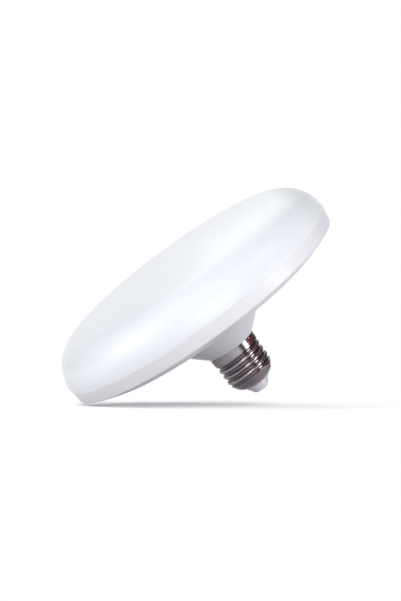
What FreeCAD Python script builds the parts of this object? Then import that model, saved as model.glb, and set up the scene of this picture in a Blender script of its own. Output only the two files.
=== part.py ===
import FreeCAD, Part
import math
import os
import types
import Sketcher

# Flat saucer-shaped LED lamp with an E27 screw cap.
# The origin is the middle of the centre contact's end face. +Z runs up the lamp's axis to the opal dome.

# Driving sizes in millimetres, or in degrees where the name says angle
SIZES = {
    # Opal cover
    "lamp_radius": 80.0,
    "seam_height": 59.6,
    "dome_rise": 22.8,
    "shoulder_radius": 20.0,
    "cover_wall": 1.4,
    "seam_chamfer": 0.2,
    "tongue_wall": 1.2,
    "tongue_depth": 4.0,
    "tongue_root": 1.0,
    "tongue_blend": 3.0,
    "fit_gap": 0.15,
    "bead_height": 0.35,
    "bead_width": 1.2,
    "bead_drop": 2.6,
    # Rim, back and neck of the housing
    "rim_height": 7.1,
    "rim_draft": 0.9,
    "rim_wall": 1.8,
    "rim_step": 1.0,
    "rim_edge_radius": 0.8,
    "bevel_width": 9.0,
    "bevel_fall": 3.7,
    "back_wall": 1.8,
    "back_angle": 2.0,
    "neck_radius": 13.5,
    "neck_height": 28.3,
    "neck_angle": 46.6,
    "neck_fillet": 6.0,
    "neck_edge_radius": 0.5,
    "spigot_wall": 1.3,
    "spigot_end_gap": 1.3,
    "boss_circle": 40.0,
    "boss_radius": 3.5,
    "boss_count": 3,
    "rib_start": 40.0,
    "rib_inset": 1.5,
    "rib_width": 1.2,
    "rib_count": 12,
    "rail_width": 1.0,
    "rail_reach": 2.2,
    "rail_gap": 0.15,
    "rail_stop": 1.2,
    # Screw cap
    "shell_sheet": 0.35,
    "shell_skirt_radius": 13.4,
    "shell_skirt_depth": 4.2,
    "shell_skirt_slope": 1.1,
    "shell_seat_gap": 0.1,
    "thread_root_radius": 12.05,
    "thread_crest_radius": 13.1,
    "thread_pitch": 3.629,
    "thread_round": 1.025,
    "thread_start": 3.4,
    "thread_run_in": 1.9,
    "thread_fade_radius": 6.5,
    "thread_fade_height": 12.9,
    "bowl_radius": 6.6,
    "bowl_height": 11.2,
    "lip_radius": 6.3,
    "dent_count": 16,
    "dent_radius": 0.9,
    "dent_depth": 0.25,
    "dent_drop": 0.95,
    "spigot_gap": 0.1,
    "insulator_gap": 0.1,
    "tip_end_radius": 4.35,
    "tip_root_radius": 6.5,
    "tip_height": 3.3,
    "tip_edge_radius": 0.3,
    "insulator_flange_radius": 8.5,
    "insulator_top": 7.2,
    "contact_radius": 4.0,
    "contact_plate": 0.45,
    "contact_bevel": 0.3,
    "rivet_radius": 1.2,
    "rivet_head_radius": 1.9,
    "rivet_head": 0.4,
    "rivet_gap": 0.05,
    # Light engine
    "plate_drop": 7.0,
    "plate_gap": 3.7,
    "plate_sheet": 0.8,
    "plate_rim_height": 2.4,
    "plate_bend": 0.8,
    "cable_hole_radius": 6.0,
    "led_board_gap": 1.9,
    "led_board_thickness": 1.0,
    "led_length": 3.5,
    "led_width": 2.8,
    "led_body": 0.55,
    "led_window": 0.2,
    "led_frame": 0.35,
    "inner_ring_radius": 27.0,
    "inner_ring_count": 12,
    "outer_ring_inset": 14.0,
    "outer_ring_count": 24,
    "screw_radius": 1.25,
    "screw_length": 5.2,
    "screw_tip": 0.8,
    "screw_head_radius": 2.8,
    "screw_head_height": 1.9,
    "screw_head_round": 0.9,
    "screw_hole_radius": 1.6,
    "pilot_gap": 0.05,
    "pilot_depth": 3.8,
    # Driver
    "board_thickness": 1.2,
    "board_stem_width": 18.0,
    "board_wing_width": 36.0,
    "board_cone_gap": 5.0,
    "board_top_gap": 1.4,
    "pin_radius": 0.3,
    "pin_hole_radius": 0.45,
    "pin_tail": 1.0,
    "pin_embed": 0.6,
    "part_stand": 0.3,
    "bulk_can_radius": 4.0,
    "bulk_can_height": 12.0,
    "bulk_can_pins": 3.5,
    "bulk_can_across": -11.5,
    "bulk_can_drop": 6.2,
    "output_can_radius": 3.15,
    "output_can_height": 11.0,
    "output_can_pins": 2.5,
    "output_can_across": 11.0,
    "output_can_drop": 6.2,
    "can_edge": 0.6,
    "can_crimp": 0.25,
    "choke_radius": 4.5,
    "choke_height": 10.0,
    "choke_flange": 1.2,
    "choke_waist": 2.0,
    "choke_pins": 5.0,
    "choke_across": 0.0,
    "choke_drop": 6.7,
    "winding_radius": 3.9,
    "winding_crown": 0.2,
    "winding_gap": 0.05,
    "film_width": 8.0,
    "film_depth": 5.0,
    "film_height": 7.5,
    "film_round": 0.8,
    "film_pins": 5.0,
    "film_across": 0.0,
    "film_up": 33.0,
    "resistor_radius": 1.3,
    "resistor_length": 6.6,
    "resistor_round": 0.5,
    "resistor_pins": 10.0,
    "resistor_bend": 0.9,
    "resistor_across": 4.5,
    "resistor_up": 22.0,
    "chip_stand": 0.1,
    "leg_sheet": 0.2,
    "bridge_width": 3.9,
    "bridge_length": 4.8,
    "bridge_height": 2.4,
    "bridge_leg_width": 0.7,
    "bridge_leg_pitch": 2.5,
    "bridge_leg_count": 2,
    "bridge_across": 0.0,
    "bridge_up": 26.0,
    "driver_chip_width": 3.9,
    "driver_chip_length": 4.9,
    "driver_chip_height": 1.5,
    "driver_chip_leg_width": 0.42,
    "driver_chip_leg_pitch": 1.27,
    "driver_chip_leg_count": 4,
    "driver_chip_across": -9.0,
    "driver_chip_drop": 12.7,
    "diode_width": 4.3,
    "diode_length": 2.6,
    "diode_height": 2.2,
    "diode_leg_width": 1.4,
    "diode_across": 9.5,
    "diode_drop": 11.7,
    "leg_reach": 0.9,
    "resistor_chip_length": 3.2,
    "resistor_chip_width": 1.6,
    "resistor_chip_height": 0.55,
    "resistor_chip_pitch": 2.8,
    "resistor_chip_count": 4,
    "resistor_chip_across": 0.0,
    "resistor_chip_drop": 14.2,
    # Leads
    "lead_radius": 0.55,
    "lead_stand": 2.6,
    "supply_across": 3.5,
    "supply_up": 17.5,
    "neutral_level": 11.6,
    "led_lead_across": 2.5,
    "led_lead_start": 48.0,
    "led_lead_rise": 2.4,
    "led_lead_pad": 10.0,
}
CUT_OVERSHOOT = 1.0
AXIS_LINE_LENGTH = 10.0
MATCH_TOLERANCE = 1e-3
NOTHING = 1e-9
LEAD_ARC_SHARE = 0.45
FRONT = "front"
BACK = "back"

doc = FreeCAD.newDocument("SaucerLamp")
sheet = doc.addObject("Spreadsheet::Sheet", "Sizes")
for row, (name, value) in enumerate(SIZES.items(), start=1):
    sheet.set(f"A{row}", name)
    sheet.set(f"B{row}", str(value))
    sheet.setAlias(f"B{row}", name)
doc.recompute()


class Size:
    """A size that knows its number and the formula over the sheet that gives it."""

    def __init__(self, number, formula):
        self.number = number
        self.formula = formula

    def __add__(self, other):
        other = as_size(other)
        return Size(self.number + other.number, f"({self.formula} + {other.formula})")

    def __sub__(self, other):
        other = as_size(other)
        return Size(self.number - other.number, f"({self.formula} - {other.formula})")

    def __mul__(self, other):
        other = as_size(other)
        return Size(self.number * other.number, f"({self.formula} * {other.formula})")

    def __truediv__(self, other):
        other = as_size(other)
        return Size(self.number / other.number, f"({self.formula} / {other.formula})")

    def __neg__(self):
        return Size(-self.number, f"(0 - {self.formula})")

    def __radd__(self, other):
        return as_size(other) + self

    def __rsub__(self, other):
        return as_size(other) - self

    def __rmul__(self, other):
        return as_size(other) * self

    def __rtruediv__(self, other):
        return as_size(other) / self

    def root(self):
        """The square root."""
        return Size(math.sqrt(self.number), f"sqrt({self.formula})")

    def slope(self):
        """The tangent of an angle in degrees."""
        return Size(math.tan(math.radians(self.number)), f"tan({self.formula})")


def as_size(value):
    """Takes a size or a bare number."""
    return value if isinstance(value, Size) else Size(float(value), repr(float(value)))


size = types.SimpleNamespace(**{name: Size(float(value), f"Sizes.{name}") for name, value in SIZES.items()})


def leg(long_side, short_side):
    """The third side of a right-angled triangle."""
    return (long_side * long_side - short_side * short_side).root()


def bind(item, prop, value):
    """Ties a property to its formula over the sheet."""
    item.setExpression(prop, as_size(value).formula)


# Sketches: each corner is (across, up), or (across, up, radius, turn) where an arc leads to it

ORIGIN_POINT = (-1, 1)
SIDEWAYS_AXIS = -1
UPRIGHT_AXIS = -2
START = 1
END = 2
CENTRE = 3
LEFT = "left"
RIGHT = "right"


def datum_of(body, role):
    """One of the body's own origin planes or axes."""
    return next(item for item in body.Origin.OriginFeatures if item.Role == role)


def new_body(label, many=False):
    """An empty sub-part. A group of like pieces may hold many solids."""
    body = doc.addObject("PartDesign::Body", label)
    body.Label = label
    body.AllowCompound = many
    return body


def new_sketch(body, name, role="XZ_Plane", lift=None, turn=None):
    """A sketch on one of the body's own planes, lifted along the plane's normal or turned about it."""
    sketch = body.newObject("Sketcher::SketchObject", name)
    sketch.AttachmentSupport = (datum_of(body, role), [""])
    sketch.MapMode = "FlatFace"
    if lift is not None:
        bind(sketch, "AttachmentOffset.Base.z", lift)
    if turn is not None:
        about_normal = FreeCAD.Rotation(FreeCAD.Vector(0, 0, 1), turn.number)
        sketch.AttachmentOffset = FreeCAD.Placement(sketch.AttachmentOffset.Base, about_normal)
        bind(sketch, "AttachmentOffset.Rotation.Angle", turn)
    return sketch


class Ties:
    """Collects a sketch's constraints with their formulas and sets them in one go."""

    def __init__(self, sketch):
        self.sketch = sketch
        self.items = []
        self.formulas = {}

    def add(self, *parts, value=None):
        if value is not None:
            self.formulas[len(self.items)] = value.formula
            parts = parts + (value.number,)
        self.items.append(Sketcher.Constraint(*parts))

    def offset(self, kind, axis, geometry, point, value):
        value = as_size(value)
        if abs(value.number) < NOTHING:
            self.add("PointOnObject", geometry, point, axis)
        elif value.number > 0:
            self.add(kind, *ORIGIN_POINT, geometry, point, value=value)
        else:
            self.add(kind, geometry, point, *ORIGIN_POINT, value=-value)

    def pin(self, geometry, point, across, up):
        self.offset("DistanceX", UPRIGHT_AXIS, geometry, point, across)
        self.offset("DistanceY", SIDEWAYS_AXIS, geometry, point, up)

    def close(self):
        first = self.sketch.ConstraintCount
        self.sketch.addConstraint(self.items)
        for index, formula in self.formulas.items():
            self.sketch.setExpression(f"Constraints[{first + index}]", formula)


def point_of(corner):
    """A corner's place in the sketch."""
    return FreeCAD.Vector(as_size(corner[0]).number, as_size(corner[1]).number, 0)


def arc_between(start, end, radius, turn):
    """The shorter arc from start to end that bends to the left or to the right."""
    chord = end - start
    left = FreeCAD.Vector(-chord.y, chord.x, 0).normalize()
    reach = math.sqrt(max(radius**2 - chord.Length**2 / 4, 0))
    centre = (start + end) / 2 + left * (reach if turn == LEFT else -reach)
    angles = [math.atan2(end_point.y - centre.y, end_point.x - centre.x) for end_point in (start, end)]
    if turn == RIGHT:
        angles.reverse()
    return Part.ArcOfCircle(Part.Circle(centre, FreeCAD.Vector(0, 0, 1), radius), *angles)


def draw(sketch, corners, closed=True, axis_across=None):
    """Draws an outline or an open route through the corners, each tied to the sheet."""
    ties = Ties(sketch)
    if axis_across is not None:
        foot = point_of((axis_across, 0))
        axis_top = foot + FreeCAD.Vector(0, AXIS_LINE_LENGTH, 0)
        axis = sketch.addGeometry(Part.LineSegment(foot, axis_top), True)
        ties.pin(axis, START, axis_across, 0)
        ties.add("Vertical", axis)
        ties.add("Distance", axis, value=as_size(AXIS_LINE_LENGTH))
    count = len(corners)
    pieces = []
    for index in range(count if closed else count - 1):
        start, end = corners[index], corners[(index + 1) % count]
        if len(end) == 2:
            piece = sketch.addGeometry(Part.LineSegment(point_of(start), point_of(end)), False)
            pieces.append((piece, START, END))
            continue
        radius, turn = as_size(end[2]), end[3]
        arc = arc_between(point_of(start), point_of(end), radius.number, turn)
        piece = sketch.addGeometry(arc, False)
        pieces.append((piece, START, END) if turn == LEFT else (piece, END, START))
        ties.add("Radius", piece, value=radius)
    for index, (piece, first, last) in enumerate(pieces):
        ties.pin(piece, first, *corners[index][:2])
        if index + 1 < len(pieces):
            ties.add("Coincident", piece, last, pieces[index + 1][0], pieces[index + 1][1])
        elif closed:
            ties.add("Coincident", piece, last, pieces[0][0], pieces[0][1])
        else:
            ties.pin(piece, last, *corners[-1][:2])
    ties.close()


def draw_circle(sketch, across, up, radius):
    """Draws a circle tied to the sheet."""
    ties = Ties(sketch)
    circle = Part.Circle(point_of((across, up)), FreeCAD.Vector(0, 0, 1), as_size(radius).number)
    piece = sketch.addGeometry(circle, False)
    ties.pin(piece, CENTRE, across, up)
    ties.add("Radius", piece, value=as_size(radius))
    ties.close()


def draw_box(sketch, across, up, width, height):
    """Draws a rectangle about its middle."""
    left, right = across - width / 2, across + width / 2
    low, high = up - height / 2, up + height / 2
    draw(sketch, [(left, low), (right, low), (right, high), (left, high)])


# Features


def turned(body, name, corners, kind="PartDesign::Revolution", axis_across=None):
    """Turns an outline round the lamp's axis, or round a line beside it."""
    sketch = new_sketch(body, f"{name}_outline")
    draw(sketch, corners, axis_across=axis_across)
    feature = body.newObject(kind, name)
    feature.Profile = sketch
    feature.ReferenceAxis = (sketch, ["V_Axis" if axis_across is None else "Axis0"])
    feature.Angle = 360
    return feature


def padded(body, name, sketch, length, kind="PartDesign::Pad", flip=False, both=False):
    """Raises or cuts a sketch by a length, to one side or to both."""
    feature = body.newObject(kind, name)
    feature.Profile = sketch
    feature.Reversed = flip
    if both:
        feature.SideType = "Symmetric"
    bind(feature, "Length", length)
    return feature


def round_pattern(body, name, feature, count):
    """Repeats a feature evenly about the lamp's axis."""
    pattern = body.newObject("PartDesign::PolarPattern", name)
    pattern.Originals = [feature]
    pattern.Axis = (datum_of(body, "Z_Axis"), [""])
    pattern.Angle = 360
    bind(pattern, "Occurrences", count)
    body.Tip = pattern
    return pattern


def row_pattern(body, name, feature, role, pitch, count):
    """Repeats a feature in a row along one of the body's axes."""
    pattern = body.newObject("PartDesign::LinearPattern", name)
    pattern.Originals = [feature]
    pattern.Direction = (datum_of(body, role), [""])
    pattern.Mode = "Spacing"
    bind(pattern, "Offset", pitch)
    bind(pattern, "Occurrences", count)
    body.Tip = pattern
    return pattern


def rounded(body, name, radius, picked):
    """Rounds the edges that the test picks."""
    doc.recompute()
    base = body.Tip
    edges = [f"Edge{number}" for number, edge in enumerate(base.Shape.Edges, start=1) if picked(edge)]
    fillet = body.newObject("PartDesign::Fillet", name)
    fillet.Base = (base, edges)
    bind(fillet, "Radius", radius)
    return fillet


def ring_at(radius, height):
    """Picks the circular edge with this radius at this height."""

    def picked(edge):
        if not isinstance(edge.Curve, Part.Circle):
            return False
        off = abs(edge.Curve.Radius - radius.number) + abs(edge.Curve.Center.z - height.number)
        return off < MATCH_TOLERANCE

    return picked


def stand_on_board(body, across, up, side):
    """Stands a part on a face of the upright driver board, its own +Z away from the board."""
    front = side == FRONT
    body.Placement = FreeCAD.Placement(
        FreeCAD.Vector(), FreeCAD.Rotation(FreeCAD.Vector(1, 0, 0), 90 if front else -90)
    )
    half = size.board_thickness / 2
    bind(body, "Placement.Base.x", across)
    bind(body, "Placement.Base.y", -half if front else half)
    bind(body, "Placement.Base.z", up)


def pin_pair(body, spacing, top):
    """Two wire pins from inside the part, through the board and a little beyond."""
    low = -(size.board_thickness + size.pin_tail)
    sketch = new_sketch(body, "pins_outline", "XY_Plane", low)
    for sign in (-1, 1):
        draw_circle(sketch, sign * spacing / 2, as_size(0), size.pin_radius)
    padded(body, "pins", sketch, top - low)


# Heights and radii that several pieces share


def stretch(slope):
    """How much longer a slanted line is than its run."""
    return (1 + slope * slope).root()


dome_top = size.seam_height + size.dome_rise
shoulder_centre = size.lamp_radius - size.shoulder_radius
crown_radius = (
    shoulder_centre * shoulder_centre
    + size.dome_rise * size.dome_rise
    - size.shoulder_radius * size.shoulder_radius
) / (2 * (size.dome_rise - size.shoulder_radius))
rim_inner = size.lamp_radius - size.rim_wall
tongue_outer = rim_inner - size.fit_gap
tongue_inner = tongue_outer - size.tongue_wall
rim_low = size.seam_height - size.rim_height
rim_low_radius = size.lamp_radius - size.rim_draft
bevel_radius = rim_low_radius - size.bevel_width
bevel_low = rim_low - size.bevel_fall
bevel_slope = size.bevel_fall / size.bevel_width
back_slope = size.back_angle.slope()
neck_slope = size.neck_angle.slope()
shell_top = size.neck_height - size.shell_seat_gap
shell_skirt_low = size.neck_height - size.shell_skirt_depth
dent_height = size.neck_height - size.dent_drop
spigot_seat_radius = size.shell_skirt_radius - size.shell_sheet - size.spigot_gap
spigot_radius = size.thread_root_radius - size.shell_sheet - 2 * size.spigot_gap
spigot_bore = spigot_radius - size.spigot_wall
spigot_end = size.bowl_height + size.spigot_end_gap
neck_thick = size.back_wall * stretch(neck_slope)
plate_seat = size.seam_height - size.plate_drop
plate_radius = rim_inner - size.rim_step - size.plate_gap
plate_top = plate_seat + size.plate_sheet
rib_end = plate_radius - size.rib_inset
led_board_radius = plate_radius - size.plate_sheet - size.plate_bend - size.led_board_gap
led_board_top = plate_top + size.led_board_thickness
outer_ring_radius = led_board_radius - size.outer_ring_inset
board_foot = spigot_end + size.rail_stop
board_top = plate_seat - size.board_top_gap

def cover():
    """Opal dome of two tangent arcs, with a tongue and a snap bead that go inside the rim."""
    body = new_body("cover")
    lean = shoulder_centre / (crown_radius - size.shoulder_radius)
    lift = (crown_radius - size.dome_rise) / (crown_radius - size.shoulder_radius)

    def crown_end(radius):
        return shoulder_centre + radius * lean, size.seam_height + radius * lift

    inner_radius = size.shoulder_radius - size.cover_wall
    bead_top = size.seam_height - size.bead_drop
    bead_low = bead_top - size.bead_width
    tongue_end = size.seam_height - size.tongue_depth
    turned(body, "shell", [
        (0, dome_top, crown_radius, LEFT),
        (0, dome_top - size.cover_wall),
        (*crown_end(inner_radius), crown_radius - size.cover_wall, RIGHT),
        (shoulder_centre + leg(inner_radius, size.tongue_blend), size.seam_height + size.tongue_blend,
         inner_radius, RIGHT),
        (tongue_inner, size.seam_height + size.tongue_root),
        (tongue_inner, tongue_end),
        (tongue_outer, tongue_end),
        (tongue_outer, bead_low),
        (tongue_outer + size.bead_height, (bead_top + bead_low) / 2),
        (tongue_outer, bead_top),
        (tongue_outer, size.seam_height),
        (size.lamp_radius - size.seam_chamfer, size.seam_height),
        (shoulder_centre + leg(size.shoulder_radius, size.seam_chamfer), size.seam_height + size.seam_chamfer),
        (*crown_end(size.shoulder_radius), size.shoulder_radius, LEFT),
    ])
    return body


def rear_housing():
    """White moulding: rim band, bevelled back, neck cone and the spigot that carries the cap."""
    body = new_body("rear_housing")
    wall = size.back_wall
    groove_top = size.seam_height - size.bead_drop + size.fit_gap
    groove_low = size.seam_height - size.bead_drop - size.bead_width - size.fit_gap
    groove_radius = rim_inner + size.bead_height
    rim_ledge = size.seam_height - size.tongue_depth - 2 * size.fit_gap
    lower_inner = rim_inner - size.rim_step

    def corner_radius(edge, lift):
        """Where the cone meets the back: both lines moved by their own wall."""
        rise = bevel_low + lift - size.neck_height - bevel_radius * back_slope
        return (edge + rise * neck_slope) / (1 - back_slope * neck_slope)

    def back_height(radius, lift):
        return bevel_low + lift - (bevel_radius - radius) * back_slope

    back_lift = wall * stretch(back_slope)
    bevel_lift = wall * stretch(bevel_slope)
    outer_corner = corner_radius(size.neck_radius, as_size(0))
    inner_corner = corner_radius(size.neck_radius - neck_thick, back_lift)
    bevel_foot = bevel_radius - (bevel_lift - back_lift) / (bevel_slope - back_slope)
    bore_top = size.neck_height + (spigot_bore - size.neck_radius + neck_thick) / neck_slope
    stake_radius = spigot_seat_radius - size.dent_depth - size.spigot_gap
    stake_low = dent_height - size.dent_radius
    turned(body, "wall", [
        (rim_inner, size.seam_height),
        (rim_inner, groove_top),
        (groove_radius, (groove_top + groove_low) / 2),
        (rim_inner, groove_low),
        (rim_inner, rim_ledge),
        (lower_inner, rim_ledge),
        (lower_inner, bevel_low + bevel_lift + (lower_inner - bevel_radius) * bevel_slope),
        (bevel_foot, back_height(bevel_foot, back_lift)),
        (inner_corner, back_height(inner_corner, back_lift)),
        (spigot_bore, bore_top),
        (spigot_bore, spigot_end),
        (spigot_radius, spigot_end),
        (spigot_radius, shell_skirt_low + size.shell_seat_gap + size.shell_sheet),
        (spigot_seat_radius, shell_skirt_low + size.shell_seat_gap + size.shell_sheet),
        (spigot_seat_radius, stake_low),
        (stake_radius, stake_low),
        (stake_radius, size.neck_height),
        (size.neck_radius, size.neck_height),
        (outer_corner, back_height(outer_corner, as_size(0))),
        (bevel_radius, bevel_low),
        (rim_low_radius, rim_low),
        (size.lamp_radius, size.seam_height - size.seam_chamfer),
        (size.lamp_radius - size.seam_chamfer, size.seam_height),
    ])
    rounded(body, "neck_fillet", size.neck_fillet, ring_at(outer_corner, back_height(outer_corner, as_size(0))))
    inner_fillet = size.neck_fillet + wall
    rounded(body, "inner_fillet", inner_fillet, ring_at(inner_corner, back_height(inner_corner, back_lift)))
    rounded(body, "rim_edge", size.rim_edge_radius, ring_at(rim_low_radius, rim_low))
    rounded(body, "neck_edge", size.neck_edge_radius, ring_at(size.neck_radius, size.neck_height))

    def wall_middle(radius):
        return back_height(radius, back_lift / 2)

    rib_sketch = new_sketch(body, "rib_outline")
    draw(rib_sketch, [
        (size.rib_start, wall_middle(size.rib_start)),
        (bevel_foot, wall_middle(bevel_foot)),
        (rib_end, bevel_low + bevel_lift / 2 + (rib_end - bevel_radius) * bevel_slope),
        (rib_end, plate_seat),
        (size.rib_start, plate_seat),
    ])
    rib = padded(body, "rib", rib_sketch, size.rib_width, both=True)
    round_pattern(body, "ribs", rib, size.rib_count)

    boss_foot = wall_middle(size.boss_circle - size.boss_radius)
    boss_sketch = new_sketch(body, "boss_outline", "XY_Plane", boss_foot)
    draw_circle(boss_sketch, size.boss_circle, 0, size.boss_radius)
    boss = padded(body, "boss", boss_sketch, plate_seat - boss_foot)
    round_pattern(body, "bosses", boss, size.boss_count)

    pilot_sketch = new_sketch(body, "pilot_outline", "XY_Plane", plate_seat)
    draw_circle(pilot_sketch, size.boss_circle, 0, size.screw_radius + size.pilot_gap)
    pilot = padded(body, "pilot", pilot_sketch, size.pilot_depth, kind="PartDesign::Pocket")
    round_pattern(body, "pilots", pilot, size.boss_count)

    slot = size.board_thickness / 2 + size.rail_gap
    edge = size.board_stem_width / 2 + size.rail_gap
    outside = spigot_bore + size.spigot_wall / 2
    inside = outside - size.spigot_wall / 2 - size.rail_reach
    rail_sketch = new_sketch(body, "rail_outline", "XY_Plane", spigot_end)
    draw(rail_sketch, [
        (inside, slot),
        (edge, slot),
        (edge, -slot),
        (inside, -slot),
        (inside, -slot - size.rail_width),
        (outside, -slot - size.rail_width),
        (outside, slot + size.rail_width),
        (inside, slot + size.rail_width),
    ])
    rail = padded(body, "rail", rail_sketch, size.neck_height - spigot_end)
    round_pattern(body, "rails", rail, as_size(2))

    stop_sketch = new_sketch(body, "stop_outline", "XY_Plane", spigot_end)
    draw(stop_sketch, [
        (inside, -slot - size.rail_width / 2),
        (outside, -slot - size.rail_width / 2),
        (outside, slot + size.rail_width / 2),
        (inside, slot + size.rail_width / 2),
    ])
    stop = padded(body, "stop", stop_sketch, size.rail_stop)
    round_pattern(body, "stops", stop, as_size(2))
    return body


def cap_form(label, inset, overshoot):
    """The cap's outer form, or with an inset of one sheet, the hollow inside it."""
    body = new_body(label)
    root = size.thread_root_radius - inset
    skirt = size.shell_skirt_radius - inset
    bowl = size.bowl_radius - inset
    bowl_centre = size.thread_root_radius - size.bowl_radius
    lip_height = size.bowl_height - leg(bowl, size.lip_radius - bowl_centre)
    slope_top = shell_skirt_low + inset / 2
    ridge_round = size.thread_round - inset
    hollow_round = size.thread_round + inset
    half_pitch = size.thread_pitch / 2
    crest_centre = size.thread_crest_radius - size.thread_round
    root_centre = crest_centre + leg(2 * size.thread_round, half_pitch)
    ease = (root_centre - crest_centre) / (2 * size.thread_round)
    climb = half_pitch / (2 * size.thread_round)
    foot = half_pitch - leg(hollow_round, root_centre - root)
    shoulder = crest_centre + ridge_round * ease
    fade_centre = size.thread_crest_radius - size.thread_fade_radius

    def level(rise):
        return size.thread_start + rise

    ridge_sketch = new_sketch(body, "ridge_outline")
    draw(ridge_sketch, [
        (fade_centre, level(-foot)),
        (root, level(-foot)),
        (shoulder, level(-(ridge_round * climb)), hollow_round, RIGHT),
        (shoulder, level(ridge_round * climb), ridge_round, LEFT),
        (root, level(foot), hollow_round, RIGHT),
        (fade_centre, level(foot)),
    ])
    ridge = body.newObject("PartDesign::AdditiveHelix", "ridge")
    ridge.Profile = ridge_sketch
    ridge.ReferenceAxis = (ridge_sketch, ["V_Axis"])
    ridge.Mode = "pitch-height-angle"
    bind(ridge, "Pitch", size.thread_pitch)
    bind(ridge, "Height", shell_skirt_low + size.thread_run_in - size.thread_start)

    fade = size.thread_fade_radius - inset
    clear = size.lamp_radius / 2
    turned(body, "thread_fade", [
        (size.thread_crest_radius - inset, size.thread_fade_height, fade, LEFT),
        (clear, size.thread_fade_height),
        (clear, -clear),
        (fade_centre, -clear),
        (fade_centre, size.thread_fade_height - fade),
    ], kind="PartDesign::Groove")

    turned(body, "core", [
        (0, lip_height),
        (size.lip_radius, lip_height),
        (root, size.bowl_height, bowl, LEFT),
        (root, slope_top - size.shell_skirt_slope),
        (skirt, slope_top),
        (skirt, shell_top + overshoot),
        (0, shell_top + overshoot),
    ])

    dent = body.newObject("PartDesign::SubtractiveSphere", "dent")
    bind(dent, "Radius", size.dent_radius + inset)
    bind(dent, "Placement.Base.x", size.shell_skirt_radius + size.dent_radius - size.dent_depth)
    bind(dent, "Placement.Base.z", dent_height)
    round_pattern(body, "dents", dent, size.dent_count)
    return body


def screw_shell():
    """The cap is one thin sheet: its outer form less the same form one sheet further in."""
    outer = cap_form("cap_outer_form", as_size(0), as_size(0))
    hollow = cap_form("cap_hollow_form", size.shell_sheet, as_size(CUT_OVERSHOOT))
    lip_sketch = new_sketch(hollow, "lip_outline", "XY_Plane", size.contact_plate)
    draw_circle(lip_sketch, 0, 0, size.lip_radius)
    padded(hollow, "lip_hole", lip_sketch, size.bowl_height - size.contact_plate)
    shell = doc.addObject("Part::Cut", "screw_shell")
    shell.Label = "screw_shell"
    shell.Base = outer
    shell.Tool = hollow
    return shell


def insulator():
    """White moulded tip: a cone outside the cap's lip and a flange inside it."""
    body = new_body("insulator")
    bowl_centre = size.thread_root_radius - size.bowl_radius
    inner_bowl = size.bowl_radius - size.shell_sheet
    stem_radius = size.lip_radius - size.insulator_gap
    low = size.contact_plate
    lip_under = size.bowl_height - leg(size.bowl_radius, size.tip_root_radius - bowl_centre)
    inner_lip = size.bowl_height - leg(inner_bowl, stem_radius - bowl_centre)
    flange_low = size.bowl_height - leg(inner_bowl, size.insulator_flange_radius - bowl_centre)
    tip_root = lip_under - size.insulator_gap
    hole = size.rivet_radius + size.rivet_gap
    turned(body, "tip", [
        (hole, low),
        (size.tip_end_radius, low),
        (size.tip_root_radius, low + size.tip_height),
        (size.tip_root_radius, tip_root),
        (stem_radius, tip_root),
        (stem_radius, inner_lip + size.insulator_gap),
        (size.insulator_flange_radius, flange_low + size.insulator_gap),
        (size.insulator_flange_radius, size.insulator_top),
        (hole, size.insulator_top),
    ])
    rounded(body, "tip_edge", size.tip_edge_radius, ring_at(size.tip_end_radius, low))
    return body


def centre_contact():
    """Plated contact: a plate on the insulator's end, riveted through it."""
    body = new_body("centre_contact")
    head_top = size.insulator_top + size.rivet_head
    turned(body, "rivet", [
        (0, 0),
        (size.contact_radius - size.contact_bevel, 0),
        (size.contact_radius, size.contact_bevel),
        (size.contact_radius, size.contact_plate),
        (size.rivet_radius, size.contact_plate),
        (size.rivet_radius, size.insulator_top),
        (size.rivet_head_radius, size.insulator_top),
        (size.rivet_head_radius, head_top),
        (0, head_top),
    ])
    return body


def cut_screw_holes(body, low, depth):
    """Clearance holes over the housing's bosses."""
    sketch = new_sketch(body, "screw_hole_outline", "XY_Plane", low + depth)
    draw_circle(sketch, size.boss_circle, 0, size.screw_hole_radius)
    hole = padded(body, "screw_hole", sketch, depth, kind="PartDesign::Pocket")
    round_pattern(body, "screw_holes", hole, size.boss_count)


def heat_plate():
    """Pressed aluminium plate with a turned-up rim, seated on the housing's ribs and bosses."""
    body = new_body("heat_plate")
    bend = size.plate_bend
    outer_bend = bend + size.plate_sheet
    rim_top = plate_seat + size.plate_rim_height
    turned(body, "plate", [
        (size.cable_hole_radius, plate_seat),
        (plate_radius - outer_bend, plate_seat),
        (plate_radius, plate_seat + outer_bend, outer_bend, LEFT),
        (plate_radius, rim_top),
        (plate_radius - size.plate_sheet, rim_top),
        (plate_radius - size.plate_sheet, plate_seat + outer_bend),
        (plate_radius - outer_bend, plate_top, bend, RIGHT),
        (size.cable_hole_radius, plate_top),
    ])
    cut_screw_holes(body, plate_seat, size.plate_sheet)
    return body


def led_board():
    """Aluminium-core board, a flat disc with a cable hole."""
    body = new_body("led_board")
    sketch = new_sketch(body, "board_outline", "XY_Plane", plate_top)
    draw_circle(sketch, 0, 0, led_board_radius)
    padded(body, "board", sketch, size.led_board_thickness)
    hole_sketch = new_sketch(body, "cable_hole_outline", "XY_Plane", led_board_top)
    draw_circle(hole_sketch, 0, 0, size.cable_hole_radius)
    padded(body, "cable_hole", hole_sketch, size.led_board_thickness, kind="PartDesign::Pocket")
    cut_screw_holes(body, plate_top, size.led_board_thickness)
    return body


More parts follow.
